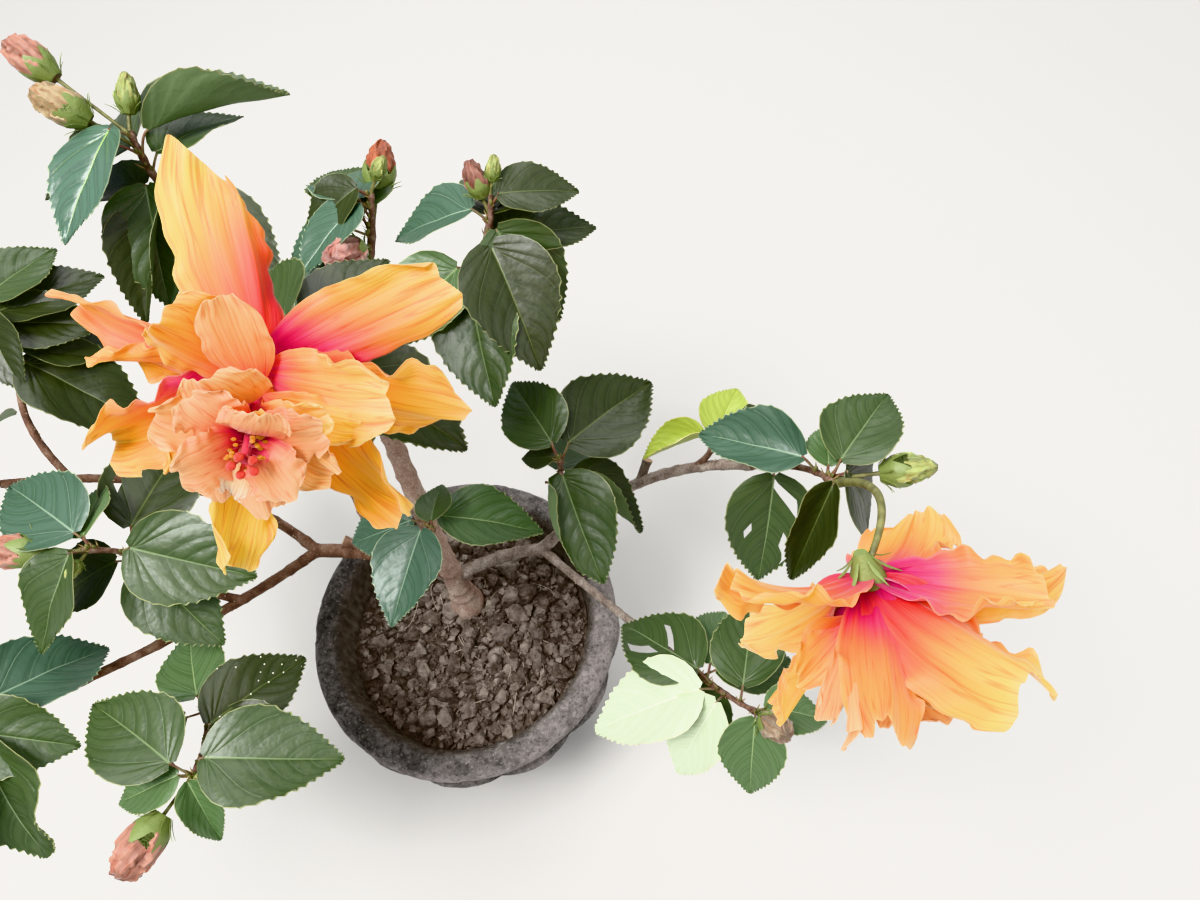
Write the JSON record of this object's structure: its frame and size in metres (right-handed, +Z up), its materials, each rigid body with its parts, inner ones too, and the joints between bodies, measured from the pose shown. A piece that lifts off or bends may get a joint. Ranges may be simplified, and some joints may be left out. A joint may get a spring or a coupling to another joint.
{
  "type": "potted hibiscus shrub",
  "caption": "Hibiscus shrub with a thin trunk, spreading boughs, toothed oval leaves, closed buds and double orange blooms, in a round weathered cement pot with a lobed band.",
  "frame": {"origin": "middle of the pot's flat underside", "axes": "+Z up; +X to the right and +Y away as the plant is seen from the front, with the blooms turned to -Y"},
  "size_m": [0.7457, 0.4679, 0.6965],
  "materials": {
    "cement": "matte",
    "soil": "matte",
    "bark": "matte",
    "leaf": "satin",
    "petal": "matte"
  },
  "bodies": {
    "root": {"pot": "cement", "soil": "soil", "trunk": "bark", "bough_right": "bark", "bough_left": "bark", "bough_left_lower": "bark", "bough_left_upper": "bark", "bough_left_inner": "bark", "bough_left_front": "bark", "bough_left_middle": "bark", "bough_left_back": "bark", "bough_right_upper": "bark", "bough_right_lower": "bark", "bough_right_middle": "bark", "bough_top_left": "bark", "bough_top_middle": "bark", "bough_top_back": "bark", "mass_left_front": "leaf", "mass_left_end": "leaf", "mass_left_middle": "leaf", "mass_left_tip": "leaf", "mass_left_back": "leaf", "mass_top_left": "leaf", "mass_top_middle": "leaf", "mass_top_back": "leaf", "mass_right_top": "leaf", "mass_right_low": "leaf", "mass_right_young": "leaf", "mass_right_middle": "leaf", "mass_over_pot": "leaf", "bloom_left": "petal", "bloom_right": "petal"}
  },
  "joints": []
}
